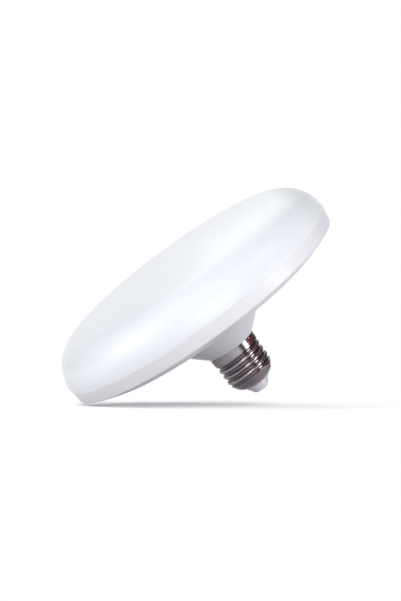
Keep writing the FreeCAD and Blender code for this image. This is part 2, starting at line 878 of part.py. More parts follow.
def leds():
    """Two rings of packages, each a body with a raised window, set half a step away from the screws."""
    body = new_body("leds", many=True)
    rings = (
        ("inner", size.inner_ring_radius, size.inner_ring_count),
        ("outer", outer_ring_radius, size.outer_ring_count),
    )
    window_low = led_board_top + size.led_body
    for ring, radius, count in rings:
        half_step = 180 / count
        frame_sketch = new_sketch(body, f"{ring}_frame_outline", "XY_Plane", led_board_top, half_step)
        draw_box(frame_sketch, radius, as_size(0), size.led_width, size.led_length)
        frame = padded(body, f"{ring}_frame", frame_sketch, size.led_body)
        window_sketch = new_sketch(body, f"{ring}_window_outline", "XY_Plane", window_low, half_step)
        width = size.led_width - 2 * size.led_frame
        length = size.led_length - 2 * size.led_frame
        draw_box(window_sketch, radius, as_size(0), width, length)
        window = padded(body, f"{ring}_window", window_sketch, size.led_window)
        pattern = round_pattern(body, f"{ring}_ring", frame, count)
        pattern.Originals = [frame, window]
    return body


def board_screws():
    """Pan-head screws through the board and the plate into the bosses."""
    body = new_body("board_screws", many=True)
    axis = size.boss_circle
    tip = led_board_top - size.screw_length
    head_top = led_board_top + size.screw_head_height
    screw = turned(body, "screw", [
        (axis, tip),
        (axis + size.screw_radius / 2, tip),
        (axis + size.screw_radius, tip + size.screw_tip),
        (axis + size.screw_radius, led_board_top),
        (axis + size.screw_head_radius, led_board_top),
        (axis + size.screw_head_radius, head_top - size.screw_head_round),
        (axis + size.screw_head_radius - size.screw_head_round, head_top, size.screw_head_round, LEFT),
        (axis, head_top),
    ], axis_across=axis)
    round_pattern(body, "screws", screw, size.boss_count)
    return body


def driver_board():
    """Upright driver board with a narrow stem in the cap's rails and wings that follow the neck's cone."""
    body = new_body("driver_board")
    stem = size.board_stem_width / 2
    wing = size.board_wing_width / 2

    def cone_height(half_width):
        return size.neck_height + (half_width + size.board_cone_gap - size.neck_radius + neck_thick) / neck_slope

    sketch = new_sketch(body, "board_outline")
    draw(sketch, [
        (-stem, board_foot),
        (stem, board_foot),
        (stem, cone_height(stem)),
        (wing, cone_height(wing)),
        (wing, board_top),
        (-wing, board_top),
        (-wing, cone_height(wing)),
        (-stem, cone_height(stem)),
    ])
    padded(body, "board", sketch, size.board_thickness, both=True)
    holes = new_sketch(body, "hole_outline")
    pin_places = (
        (size.bulk_can_across, board_top - size.bulk_can_drop, size.bulk_can_pins),
        (size.output_can_across, board_top - size.output_can_drop, size.output_can_pins),
        (size.choke_across, board_top - size.choke_drop, size.choke_pins),
        (size.film_across, size.film_up, size.film_pins),
    )
    for across, up, spacing in pin_places:
        for sign in (-1, 1):
            draw_circle(holes, across + sign * spacing / 2, up, size.pin_hole_radius)
    for sign in (-1, 1):
        up = size.resistor_up + sign * size.resistor_pins / 2
        draw_circle(holes, size.resistor_across, up, size.pin_hole_radius)
    padded(body, "pin_holes", holes, 2 * size.board_thickness, kind="PartDesign::Pocket", both=True)
    return body


def can_capacitor(label, radius, height, spacing, across, up):
    """Sleeved can with a crimped groove near its foot and two pins."""
    body = new_body(label)
    foot = size.part_stand
    top = foot + height
    crimp_low = foot + size.can_edge
    turned(body, "can", [
        (0, foot),
        (radius, foot),
        (radius, crimp_low),
        (radius - size.can_crimp, crimp_low + size.can_edge),
        (radius, crimp_low + 2 * size.can_edge),
        (radius, top - size.can_edge),
        (radius - size.can_edge, top, size.can_edge, LEFT),
        (0, top),
    ])
    pin_pair(body, spacing, foot + size.pin_embed)
    stand_on_board(body, across, up, FRONT)
    return body


def bulk_capacitor():
    """Input reservoir."""
    return can_capacitor(
        "bulk_capacitor", size.bulk_can_radius, size.bulk_can_height, size.bulk_can_pins,
        size.bulk_can_across, board_top - size.bulk_can_drop,
    )


def output_capacitor():
    """Output reservoir."""
    return can_capacitor(
        "output_capacitor", size.output_can_radius, size.output_can_height, size.output_can_pins,
        size.output_can_across, board_top - size.output_can_drop,
    )


def choke_core():
    """Ferrite drum with two flanges and two pins."""
    body = new_body("choke_core")
    foot = size.part_stand
    top = foot + size.choke_height
    turned(body, "drum", [
        (0, foot),
        (size.choke_radius, foot),
        (size.choke_radius, foot + size.choke_flange),
        (size.choke_waist, foot + size.choke_flange),
        (size.choke_waist, top - size.choke_flange),
        (size.choke_radius, top - size.choke_flange),
        (size.choke_radius, top),
        (0, top),
    ])
    pin_pair(body, size.choke_pins, foot + size.pin_embed)
    stand_on_board(body, size.choke_across, board_top - size.choke_drop, FRONT)
    return body


def choke_winding():
    """Copper winding between the drum's flanges, a little fuller at its middle."""
    body = new_body("choke_winding")
    low = size.part_stand + size.choke_flange + size.winding_gap
    high = size.part_stand + size.choke_height - size.choke_flange - size.winding_gap
    half = (high - low) / 2
    bulge = (half * half + size.winding_crown * size.winding_crown) / (2 * size.winding_crown)
    inside = size.choke_waist + size.winding_gap
    turned(body, "turns", [
        (inside, low),
        (size.winding_radius, low),
        (size.winding_radius, high, bulge, LEFT),
        (inside, high),
    ])
    stand_on_board(body, size.choke_across, board_top - size.choke_drop, FRONT)
    return body


def film_capacitor():
    """Dipped film capacitor, a rounded block on two pins."""
    body = new_body("film_capacitor")
    sketch = new_sketch(body, "block_outline", "XY_Plane", size.part_stand)
    draw_box(sketch, as_size(0), as_size(0), size.film_width, size.film_depth)
    padded(body, "block", sketch, size.film_height)
    rounded(body, "block_edges", size.film_round, lambda edge: True)
    pin_pair(body, size.film_pins, size.part_stand + size.pin_embed + size.film_round)
    stand_on_board(body, size.film_across, size.film_up, FRONT)
    return body


def chip(label, width, length, height, leg_width, leg_pitch, leg_count, across, up):
    """Moulded surface-mount package with bent legs on two sides."""
    body = new_body(label)
    sketch = new_sketch(body, "package_outline", "XY_Plane", size.chip_stand)
    draw_box(sketch, as_size(0), as_size(0), width, length)
    padded(body, "package", sketch, height)
    toe = width / 2 + size.leg_reach
    heel = width / 2 + size.leg_reach / 2
    knee = size.chip_stand + height / 2
    reach = width / 4
    row = (leg_count - 1) * leg_pitch
    leg_sketch = new_sketch(body, "leg_outline", "XZ_Plane", row / 2 + leg_width / 2)
    draw(leg_sketch, [
        (-toe, 0),
        (-heel, 0),
        (-heel + size.leg_sheet / 2, knee - size.leg_sheet / 2),
        (-reach, knee - size.leg_sheet / 2),
        (reach, knee - size.leg_sheet / 2),
        (heel - size.leg_sheet / 2, knee - size.leg_sheet / 2),
        (heel, 0),
        (toe, 0),
        (toe, size.leg_sheet),
        (heel + size.leg_sheet, size.leg_sheet),
        (heel + size.leg_sheet / 2, knee + size.leg_sheet / 2),
        (-heel - size.leg_sheet / 2, knee + size.leg_sheet / 2),
        (-heel - size.leg_sheet, size.leg_sheet),
        (-toe, size.leg_sheet),
    ])
    legs = padded(body, "legs", leg_sketch, leg_width, flip=True)
    if leg_count.number > 1:
        row_pattern(body, "leg_row", legs, "Y_Axis", leg_pitch, leg_count)
    stand_on_board(body, across, up, BACK)
    return body


def bridge_rectifier():
    """Four-legged bridge."""
    return chip(
        "bridge_rectifier", size.bridge_width, size.bridge_length, size.bridge_height, size.bridge_leg_width,
        size.bridge_leg_pitch, size.bridge_leg_count, size.bridge_across, size.bridge_up,
    )


def driver_chip():
    """Eight-legged driver chip."""
    return chip(
        "driver_chip", size.driver_chip_width, size.driver_chip_length, size.driver_chip_height,
        size.driver_chip_leg_width, size.driver_chip_leg_pitch, size.driver_chip_leg_count,
        size.driver_chip_across, board_top - size.driver_chip_drop,
    )


def diode():
    """Flyback diode with one wide tab at each end."""
    return chip(
        "diode", size.diode_width, size.diode_length, size.diode_height, size.diode_leg_width,
        size.diode_leg_width, as_size(1), size.diode_across, board_top - size.diode_drop,
    )


def chip_resistors():
    """A row of chip resistors soldered flat on the board."""
    body = new_body("chip_resistors", many=True)
    row = (size.resistor_chip_count - 1) * size.resistor_chip_pitch
    sketch = new_sketch(body, "chip_outline", "XY_Plane")
    draw_box(sketch, -row / 2, as_size(0), size.resistor_chip_width, size.resistor_chip_length)
    block = padded(body, "chip_block", sketch, size.resistor_chip_height)
    row_pattern(body, "chip_row", block, "X_Axis", size.resistor_chip_pitch, size.resistor_chip_count)
    stand_on_board(body, size.resistor_chip_across, board_top - size.resistor_chip_drop, BACK)
    return body


def fuse_resistor():
    """Axial fusible resistor: its wire is bent down at both ends and goes through the board."""
    body = new_body("fuse_resistor")
    half = size.resistor_pins / 2
    bend = size.resistor_bend
    height = size.part_stand + size.resistor_radius
    low = -(size.board_thickness + size.pin_tail)
    route = new_sketch(body, "wire_route")
    draw(route, [
        (-half, low),
        (-half, height - bend),
        (-half + bend, height, bend, RIGHT),
        (half - bend, height),
        (half, height - bend, bend, RIGHT),
        (half, low),
    ], closed=False)
    section = new_sketch(body, "wire_section", "XY_Plane", low)
    draw_circle(section, -half, as_size(0), size.pin_radius)
    wire = body.newObject("PartDesign::AdditivePipe", "wire")
    wire.Profile = section
    wire.Spine = (route, [f"Edge{number}" for number in range(1, 6)])
    wire.Mode = "Frenet"
    length = size.resistor_length / 2
    shell = new_sketch(body, "body_outline", "YZ_Plane", -length)
    draw_circle(shell, as_size(0), height, size.resistor_radius)
    padded(body, "body", shell, size.resistor_length)
    rounded(body, "body_edges", size.resistor_round, body_rim)
    stand_on_board(body, size.resistor_across, size.resistor_up, FRONT)
    body.Placement = FreeCAD.Placement(
        FreeCAD.Vector(),
        FreeCAD.Rotation(FreeCAD.Vector(0, 0, 1), FreeCAD.Vector(1, 0, 0), FreeCAD.Vector(0, -1, 0), "ZXY"),
    )
    return body


def body_rim(edge):
    """Picks the end circles of the resistor's body."""
    if not isinstance(edge.Curve, Part.Circle):
        return False
    return abs(edge.Curve.Radius - size.resistor_radius.number) < MATCH_TOLERANCE


# Leads


def lead(label, points):
    """An insulated lead: straight runs through the points, joined by arcs as large as the runs allow."""
    places = [FreeCAD.Vector(*(as_size(value).number for value in point)) for point in points]
    edges = []
    radii = []
    run_start = places[0]
    for before, corner, after in zip(places, places[1:], places[2:]):
        back = before - corner
        ahead = after - corner
        shorter = min(back.Length, ahead.Length)
        half_turn = (math.pi - back.getAngle(ahead)) / 2
        cut = LEAD_ARC_SHARE * shorter
        radius = cut / math.tan(half_turn)
        radii.append(round(radius, 2))
        arc_start = corner + back.normalize() * cut
        arc_end = corner + ahead.normalize() * cut
        inward = (back + ahead).normalize()
        centre = corner + inward * (radius / math.cos(half_turn))
        arc_middle = centre - inward * radius
        edges.append(Part.LineSegment(run_start, arc_start).toShape())
        edges.append(Part.Arc(arc_start, arc_middle, arc_end).toShape())
        run_start = arc_end
    edges.append(Part.LineSegment(run_start, places[-1]).toShape())
    path = Part.Wire(edges)
    first_run = (places[1] - places[0]).normalize()
    section = Part.Wire(Part.Circle(places[0], first_run, size.lead_radius.number).toShape())
    item = doc.addObject("Part::Feature", label)
    item.Label = label
    item.Shape = path.makePipeShell([section], True, True)
    item.Placement = FreeCAD.Placement()
    volume_share = item.Shape.Volume / (math.pi * size.lead_radius.number**2 * path.Length)
    print(f"{label}: length {path.Length:.2f}, radii {radii}, volume share {volume_share:.4f}")
    return item


def live_lead():
    """From the contact's rivet to the front of the driver board."""
    half = size.board_thickness / 2
    rivet_top = size.insulator_top + size.rivet_head
    turn = rivet_top + size.lead_stand
    return lead("live_lead", [
        (0, 0, rivet_top),
        (0, 0, turn),
        (-size.supply_across, -size.lead_stand, board_foot - size.lead_radius),
        (-size.supply_across, -size.lead_stand, size.supply_up),
        (-size.supply_across, -half, size.supply_up),
    ])


def neutral_lead():
    """From the back of the driver board down past the spigot to the inside of the cap."""
    half = size.board_thickness / 2
    wall_inside = size.thread_root_radius - size.shell_sheet
    reach = leg(wall_inside, size.supply_across) - size.lead_radius
    return lead("neutral_lead", [
        (-size.supply_across, half, size.supply_up),
        (-size.supply_across, half + size.lead_stand, size.supply_up),
        (-size.supply_across, half + size.lead_stand, size.neutral_level),
        (-size.supply_across, reach, size.neutral_level),
    ])


def led_lead(label, sign):
    """From the back of the driver board through the cable hole to a pad on the LED board."""
    half = size.board_thickness / 2
    across = sign * size.led_lead_across
    top = led_board_top + size.led_lead_rise
    out = half + size.lead_stand
    return lead(label, [
        (across, half, size.led_lead_start),
        (across, out, size.led_lead_start),
        (across, out, top),
        (across, size.led_lead_pad, top),
        (across, size.led_lead_pad, led_board_top),
    ])


def led_lead_positive():
    """The lead on the +X side."""
    return led_lead("led_lead_positive", 1)


def led_lead_negative():
    """The lead on the -X side."""
    return led_lead("led_lead_negative", -1)


SUB_PARTS = (
    cover, rear_housing, screw_shell, insulator, centre_contact, heat_plate, led_board, leds, board_screws,
    driver_board, bulk_capacitor, output_capacitor, choke_core, choke_winding, film_capacitor, bridge_rectifier,
    driver_chip, diode, chip_resistors, fuse_resistor, live_lead, neutral_lead, led_lead_positive,
    led_lead_negative,
)
parts = [make() for make in SUB_PARTS]
doc.recompute()

# Every object and every sub-part is checked before anything is written
for item in doc.Objects:
    if {"Invalid", "Error"} & set(item.State):
        raise RuntimeError(f"{item.Name} failed: {item.State}")
for item in parts:
    if item.Shape.isNull() or not item.Shape.isValid():
        raise RuntimeError(f"{item.Label} has no valid shape")

os.makedirs("parts", exist_ok=True)
for item in parts:
    item.Shape.exportStep(f"parts/{item.Label}.step")
    box = item.Shape.BoundBox
    print(f"{item.Label}: {len(item.Shape.Solids)} solid, {item.Shape.Volume:.1f} mm3, "
          f"z {box.ZMin:.2f} to {box.ZMax:.2f}, across {box.XLength:.2f} by {box.YLength:.2f}")
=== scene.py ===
# %% [markdown]
# # A saucer-shaped LED lamp with a screw cap
# The lamp is an opal dome over a white moulded housing, whose neck narrows to a plated E27 screw cap. The
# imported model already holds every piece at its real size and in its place. This script gives each piece
# its finish, from the dome to the leads inside, and then sets up the camera and the studio.

# %% Load the fixed frame
import math

import bmesh
import bpy
from mathutils import Matrix, Vector

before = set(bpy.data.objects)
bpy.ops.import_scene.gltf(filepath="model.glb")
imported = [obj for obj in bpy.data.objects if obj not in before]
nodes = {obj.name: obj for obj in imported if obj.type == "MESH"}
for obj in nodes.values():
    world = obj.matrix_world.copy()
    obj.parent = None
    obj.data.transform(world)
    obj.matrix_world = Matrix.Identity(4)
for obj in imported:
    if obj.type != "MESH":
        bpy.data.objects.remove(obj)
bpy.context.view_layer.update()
MM = 0.001
print("pieces in the frame:", len(nodes))

# %% [markdown]
# ## The camera
# The photograph looks at the side of the dome, about ten degrees above the plane of the disc, and the lamp
# lies rolled in the picture. Three directions of the picture, given in the lamp's own frame, place the
# camera: its right, its downward and its forward direction. A long lens from one metre keeps the ellipses
# as they are.

# %% Camera
PICTURE_RIGHT = Vector((0.80619, -0.10721, -0.58186))
PICTURE_DOWN = Vector((-0.59165, -0.14609, -0.79284))
PICTURE_FORWARD = PICTURE_RIGHT.cross(PICTURE_DOWN)
SEAM_CENTRE = Vector((0, 0, 59.6)) * MM
SEAM_SEEN_AT = (-2.758 * MM, -1.931 * MM, 1.0)
LENS_MM = 116.7
SENSOR_MM = 36
NEAREST = 0.05
FARTHEST = 20

camera_place = SEAM_CENTRE - (
    PICTURE_RIGHT * SEAM_SEEN_AT[0] + PICTURE_DOWN * SEAM_SEEN_AT[1] + PICTURE_FORWARD * SEAM_SEEN_AT[2]
)
camera = bpy.data.objects.new("camera", bpy.data.cameras.new("camera"))
camera.data.lens = LENS_MM
camera.data.sensor_width = SENSOR_MM
camera.data.clip_start = NEAREST
camera.data.clip_end = FARTHEST
camera_axes = Matrix((PICTURE_RIGHT, -PICTURE_DOWN, -PICTURE_FORWARD)).transposed()
camera.matrix_world = Matrix.Translation(camera_place) @ camera_axes.to_4x4()
bpy.context.scene.collection.objects.link(camera)
bpy.context.scene.camera = camera
bpy.context.scene.view_settings.view_transform = "Standard"
print("camera at", [round(value, 3) for value in camera_place])

# %% [markdown]
# ## Shader maths that reads like arithmetic
# A material is a graph of nodes. Python can build it so that it still reads as a formula: one small class
# wraps a socket and turns +, -, * and / into Math nodes, also where the number stands on the left. Every
# other node comes from one method, which sets the node's settings first and then its sockets.


# %% A socket with arithmetic
class Field:
    """A value that varies over a surface: one output socket and the graph that it belongs to."""

    def __init__(self, graph, socket):
        self.graph = graph
        self.socket = socket

    def math(self, operation, *others):
        return self.graph.node("Math", {"operation": operation}, dict(enumerate((self, *others))))

    def from_left(self, operation, first):
        return self.graph.node("Math", {"operation": operation}, {0: first, 1: self})

    def __add__(self, other):
        return self.math("ADD", other)

    def __sub__(self, other):
        return self.math("SUBTRACT", other)

    def __mul__(self, other):
        return self.math("MULTIPLY", other)

    def __truediv__(self, other):
        return self.math("DIVIDE", other)

    def __pow__(self, other):
        return self.math("POWER", other)

    def __abs__(self):
        return self.math("ABSOLUTE")

    def __radd__(self, other):
        return self.from_left("ADD", other)

    def __rsub__(self, other):
        return self.from_left("SUBTRACT", other)

    def __rmul__(self, other):
        return self.from_left("MULTIPLY", other)

    def beside(self, output):
        """Another output of the same node."""
        return Field(self.graph, self.socket.node.outputs[output])


print("a field knows +, -, *, /, ** and abs")

# %% [markdown]
# ## One way to add every other node
# A graph belongs to a material or to the world. Its one method adds any shader node and returns one of its
# outputs as a field, so that the result goes straight into the next formula. Three short helpers name what
# is used most: a soft step between two values, a blend of two colours, and the reach of a vector along a
# direction.


# %% A graph that adds nodes
class Graph:
    """The nodes of a material or of the world."""

    def __init__(self, owner):
        owner.use_nodes = True
        self.tree = owner.node_tree

    def node(self, kind, settings, sockets, output=0):
        made = self.tree.nodes.new("ShaderNode" + kind)
        for name, setting in settings.items():
            setattr(made, name, setting)
        for name, value in sockets.items():
            self.feed(made.inputs[name], value)
        return Field(self, made.outputs[output])

    def feed(self, socket, value):
        if isinstance(value, Field):
            self.tree.links.new(value.socket, socket)
        elif isinstance(value, tuple) and len(socket.default_value) == 4:
            socket.default_value = (*value, 1)
        else:
            socket.default_value = value

    def ease(self, value, start, end):
        """Rises smoothly from 0 to 1 between two values, or falls if the first is the higher."""
        return self.node("MapRange", {"interpolation_type": "SMOOTHSTEP"},
                         {"Value": value, "From Min": start, "From Max": end})

    def blend(self, mask, first, second):
        """The first colour where the mask is 0 and the second where it is 1."""
        return self.node("Mix", {"data_type": "RGBA"}, {0: mask, 6: first, 7: second}, output=2)

    def along(self, vector, direction):
        """How far a vector reaches in a direction."""
        sockets = {0: vector, 1: direction}
        return self.node("VectorMath", {"operation": "DOT_PRODUCT"}, sockets, output="Value")


print("a graph adds any node, and eases and blends")

# %% [markdown]
# ## Finishes
# A finish is a Principled material. What is the same all over is a plain number on the shader's socket,
# and what varies is linked. Positions are read in the lamp's own frame, in metres, so a mark can be put
# where it belongs.


# %% A finish and the ways to vary it
class Finish(Graph):
    """One material, worn by the pieces that it dresses."""

    def __init__(self, name, sockets):
        self.material = bpy.data.materials.new(name)
        super().__init__(self.material)
        self.shader = self.tree.nodes["Principled BSDF"]
        self.place = self.node("TexCoord", {}, {}, output="Object")
        self.give(sockets)

    def give(self, sockets):
        for name, value in sockets.items():
            self.feed(self.shader.inputs[name], value)

    def axes(self):
        """The three coordinates of the place, in metres."""
        across = self.node("SeparateXYZ", {}, {"Vector": self.place})
        return across, across.beside("Y"), across.beside("Z")

    def cloud(self, size, stretch=(1, 1, 1), detail=3, place=None):
        """Soft noise about one half, with blotches of this size in metres, drawn out by the stretch."""
        scale = tuple(1 / (size * share) for share in stretch)
        sockets = {0: place or self.place, 1: scale}
        spread = self.node("VectorMath", {"operation": "MULTIPLY"}, sockets, output="Vector")
        return self.node("TexNoise", {}, {"Vector": spread, "Scale": 1.0, "Detail": detail}, output="Fac")

    def from_line(self, first, second):
        """How far the place is from a line, given its two offsets across that line."""
        return (first * first + second * second) ** 0.5

    def stripe(self, value, middle, half_width, soft):
        """1 within a half width of the middle, and 0 beyond, with soft edges."""
        return self.ease(abs(value - middle), half_width + soft, half_width)

    def relief(self, height, depth):
        """Small relief: a height of about 0 to 1, and the depth in metres of a step of 1."""
        self.give({"Normal": self.node("Bump", {}, {"Height": height, "Distance": depth})})

    def dress(self, *names):
        for name in names:
            for worn in nodes[name].material_slots:
                worn.material = self.material
        print(self.material.name, "on", ", ".join(names))


print("a finish varies by place, noise and relief")

# %% [markdown]
# ## The opal cover
# The dome is injection-moulded opal polycarbonate: white pigment in a clear resin, with a satin skin that
# keeps the LEDs from showing as points. Light enters it a little, so a small subsurface share softens its
# edges. The skin varies only faintly, in cloudy patches and in a relief of a few micrometres, as a
# polished mould leaves. Its roughness runs from 0.28 to 0.33 only: with a range of 0.24 to 0.34 the
# denoised render showed faint patches with sharp edges. Along the seam the colour has a paler line round
# the cover's lowest edge: a painted highlight.

# %% Opal cover
OPAL_COOL = (0.795, 0.825, 0.885)
OPAL_WARM = (0.825, 0.845, 0.885)
OPAL_EDGE_HIGHLIGHT = (0.93, 0.93, 0.96)
HIGHLIGHT_TOP = 60.25 * MM
HIGHLIGHT_FOOT = 59.95 * MM


def opal_cover():
    finish = Finish("opal_cover", {
        "IOR": 1.5,
        "Specular IOR Level": 0.35,
        "Subsurface Weight": 0.15,
        "Subsurface Scale": 3 * MM,
        "Subsurface Radius": (1.0, 0.9, 0.8),
    })
    x, y, z = finish.axes()
    patches = finish.cloud(40 * MM, detail=2)
    # The paler band round the cover's lowest edge, along the seam, is a painted highlight.
    edge_highlight = finish.ease(z, HIGHLIGHT_TOP, HIGHLIGHT_FOOT)
    finish.give({
        "Base Color": finish.blend(edge_highlight, finish.blend(patches, OPAL_COOL, OPAL_WARM), OPAL_EDGE_HIGHLIGHT),
        "Roughness": 0.28 + 0.05 * patches,
    })
    finish.relief(finish.cloud(0.5 * MM), 0.006 * MM)
    finish.dress("cover")


opal_cover()

# %% [markdown]
# ## The white housing
# The rim band, the back and the neck are one moulding in glossy white plastic with a faint violet cast.
# Its skin has the fine orange peel of a spark-finished mould, and flow marks drawn out along the axis.

# %% White housing
HOUSING_WHITE = (0.82, 0.805, 0.862)
HOUSING_SHADE = (0.795, 0.78, 0.84)


def white_housing():
    finish = Finish("white_housing", {"IOR": 1.5, "Specular IOR Level": 0.4})
    flow = finish.cloud(14 * MM, stretch=(1, 1, 3), detail=2)
    peel = finish.cloud(0.6 * MM, detail=2)
    finish.give({
        "Base Color": finish.blend(flow, HOUSING_SHADE, HOUSING_WHITE),
        "Roughness": 0.27 + 0.1 * flow,
    })
    finish.relief(peel, 0.008 * MM)
    finish.dress("rear_housing")


white_housing()

# %% [markdown]
# ## The plated screw cap
# The cap is thin brass sheet, rolled to its knuckle thread and plated with nickel. Rolling leaves fine
# streaks round it. The colour is darker in the roots of the thread and on the bowl under it: painted shade.
# Streaks need a place that knows the way round the axis: a direction from the axis has no seam, where an
# angle would jump.

# %% Nickel-plated cap
CREST_RADIUS = 13.0 * MM
ROOT_RADIUS = 12.15 * MM
NICKEL_CREST = (0.42, 0.395, 0.41)
NICKEL_SHADE_AND_STREAK = (0.17, 0.15, 0.165)
NICKEL_TARNISH = (0.24, 0.19, 0.2)
BOWL_TOP = 9.5 * MM
BOWL_FOOT = 8.0 * MM
STREAK_WIDTH = 0.25 * MM


def around_axis(finish):
    """The radius, the height, and a place that turns with the way round the axis and climbs fast."""
    x, y, z = finish.axes()
    radius = finish.from_line(x, y)
    turned = finish.node("CombineXYZ", {}, {"X": x / radius, "Y": y / radius, "Z": z / STREAK_WIDTH})
    return radius, z, turned


def nickel_cap():
    finish = Finish("nickel_plate", {"Metallic": 1.0})
    radius, height, turned = around_axis(finish)
    streaks = finish.cloud(1.0, detail=4, place=turned)
    patches = finish.cloud(9 * MM)
    # The roots are darker than the crests, and the bowl below the thread darker too: painted shade.
    crest = finish.ease(radius, ROOT_RADIUS, CREST_RADIUS)
    root_shaded = finish.blend(crest, NICKEL_SHADE_AND_STREAK, NICKEL_CREST)
    tarnished_with_root_shade = finish.blend(finish.ease(patches, 0.48, 0.72), root_shaded, NICKEL_TARNISH)
    bowl_shade = finish.ease(height, BOWL_TOP, BOWL_FOOT)
    with_bowl_shade = finish.blend(0.35 * bowl_shade, tarnished_with_root_shade, NICKEL_SHADE_AND_STREAK)
    finish.give({
        "Base Color": finish.blend(finish.ease(streaks, 0.35, 0.8) * 0.5, with_bowl_shade, NICKEL_SHADE_AND_STREAK),
        "Roughness": 0.08 + 0.14 * streaks + 0.05 * patches,
    })
    finish.relief(streaks, 0.012 * MM)
    finish.dress("screw_shell")


nickel_cap()

# %% [markdown]
# ## The insulator and the contact
# The white tip is moulded plastic with a faint lavender cast and a smooth skin. The contact is a small
# riveted plate, turned and tinned: its marks are rings about the axis, so its noise depends only on the
# radius and the height.

# %% Insulator and centre contact
TIP_WHITE = (0.80, 0.785, 0.87)
TIP_SHADE = (0.75, 0.735, 0.82)
CONTACT_BRIGHT = (0.66, 0.64, 0.6)
CONTACT_DULL = (0.42, 0.4, 0.37)


def white_insulator():
    finish = Finish("white_insulator", {"IOR": 1.5, "Specular IOR Level": 0.4})
    patches = finish.cloud(3 * MM)
    finish.give({
        "Base Color": finish.blend(patches, TIP_SHADE, TIP_WHITE),
        "Roughness": 0.28 + 0.12 * patches,
    })
    finish.relief(finish.cloud(0.3 * MM), 0.006 * MM)
    finish.dress("insulator")


def contact_metal():
    finish = Finish("contact_metal", {"Metallic": 1.0})
    x, y, z = finish.axes()
    ring_place = finish.node("CombineXYZ", {}, {"X": finish.from_line(x, y), "Y": 0.0, "Z": z})
    rings = finish.cloud(0.12 * MM, place=ring_place)
    stain = finish.cloud(1.5 * MM)
    bright = finish.blend(rings, CONTACT_DULL, CONTACT_BRIGHT)
    finish.give({
        "Base Color": finish.blend(finish.ease(stain, 0.5, 0.75) * 0.6, bright, CONTACT_DULL),
        "Roughness": 0.2 + 0.2 * rings,
    })
    finish.relief(rings, 0.01 * MM)
    finish.dress("centre_contact")


white_insulator()
contact_metal()

# %% [markdown]
# ## The pressed plate and the screws
# Behind the dome a pressed aluminium plate carries the LED board and leads its heat to the housing. Sheet
# from the mill has fine grain along one direction, so its noise is drawn out along X. The screws are zinc
# plated: bright, cool and slightly blotched, with turning marks around each head.

# %% Heat plate and screws
SHEET_BRIGHT = (0.8, 0.81, 0.82)
SHEET_DULL = (0.6, 0.61, 0.63)
ZINC_BRIGHT = (0.74, 0.75, 0.78)
ZINC_BLUE = (0.52, 0.55, 0.62)


def pressed_aluminium():
    finish = Finish("pressed_aluminium", {"Metallic": 1.0})
    grain = finish.cloud(0.3 * MM, stretch=(60, 1, 1))
    patches = finish.cloud(20 * MM)
    finish.give({
        "Base Color": finish.blend(0.5 * grain + 0.5 * patches, SHEET_DULL, SHEET_BRIGHT),
        "Roughness": 0.26 + 0.22 * grain,
    })
    finish.relief(grain, 0.01 * MM)
    finish.dress("heat_plate")


def screw_steel():
    finish = Finish("screw_steel", {"Metallic": 1.0})
    blotches = finish.cloud(1.2 * MM)
    turned = finish.cloud(0.2 * MM, stretch=(8, 8, 1))
    finish.give({
        "Base Color": finish.blend(blotches, ZINC_BLUE, ZINC_BRIGHT),
        "Roughness": 0.22 + 0.18 * turned,
    })
    finish.relief(turned, 0.01 * MM)
    finish.dress("board_screws")


pressed_aluminium()
screw_steel()

# %% [markdown]
# ## The LED board and its LEDs
# The board is aluminium under a white solder mask. The copper rings that join the LEDs show as a faint
# step in the mask, and the mask is open over two solder pads. Each LED is a white frame with a window of
# yellow phosphor, so one finish can tell the two apart by their height above the board.

# %% LED board and LEDs
MASK_TOP = 54.3 * MM
MASK_WHITE = (0.87, 0.87, 0.86)
MASK_WARM = (0.82, 0.82, 0.79)
LEAD_PAD = (2.5 * MM, 10.0 * MM)
PAD_INSIDE = 1.15 * MM
PAD_OUTSIDE = 1.3 * MM
LED_RINGS = (27 * MM, 56 * MM)
TRACK_HALF = 1.6 * MM
TRACK_EDGE = 0.2 * MM
TIN = (0.72, 0.72, 0.73)
TIN_DULL = (0.5, 0.5, 0.51)
FRAME_WHITE = (0.85, 0.85, 0.83)
PHOSPHOR_YELLOW = (0.88, 0.66, 0.13)
PHOSPHOR_PALE = (0.92, 0.77, 0.3)
WINDOW_FOOT = 54.95 * MM
WINDOW_EDGE = 0.02 * MM


def white_board():
    finish = Finish("white_board", {"Specular IOR Level": 0.4})
    x, y, z = finish.axes()
    radius = finish.from_line(x, y)
    from_pad = finish.from_line(abs(x) - LEAD_PAD[0], y - LEAD_PAD[1])
    pad = finish.ease(from_pad, PAD_OUTSIDE, PAD_INSIDE)
    masked = finish.ease(z, MASK_TOP - 0.1 * MM, MASK_TOP) * (1 - pad)
    inner, outer = (finish.stripe(radius, ring, TRACK_HALF, TRACK_EDGE) for ring in LED_RINGS)
    tracks = inner + outer
    patches = finish.cloud(6 * MM)
    mask_colour = finish.blend(0.55 * tracks + 0.4 * patches, MASK_WHITE, MASK_WARM)
    metal_colour = finish.blend(patches, TIN_DULL, TIN)
    finish.give({
        "Base Color": finish.blend(masked, metal_colour, mask_colour),
        "Metallic": 1 - masked,
        "Roughness": 0.28 + 0.2 * patches,
    })
    finish.relief(tracks + 0.1 * finish.cloud(0.4 * MM), 0.03 * MM)
    finish.dress("led_board")


def phosphor():
    finish = Finish("phosphor", {"IOR": 1.5, "Specular IOR Level": 0.5})
    x, y, z = finish.axes()
    window = finish.ease(z, WINDOW_FOOT - WINDOW_EDGE, WINDOW_FOOT + WINDOW_EDGE)
    grains = finish.cloud(0.15 * MM)
    yellow = finish.blend(grains, PHOSPHOR_YELLOW, PHOSPHOR_PALE)
    finish.give({
        "Base Color": finish.blend(window, FRAME_WHITE, yellow),
        "Roughness": 0.4 - 0.22 * window + 0.1 * grains,
    })
    finish.relief(grains, 0.01 * MM)
    finish.dress("leds")


white_board()
phosphor()

# %% [markdown]
# ## The driver board
# The driver board stands in the housing's rails. Both faces wear a green mask over copper tracks on a 2.54
# mm grid, and its sawn edge shows the tan of glass fibre. Noise with no detail decides, patch by patch,
# whether the tracks run along or across the board.

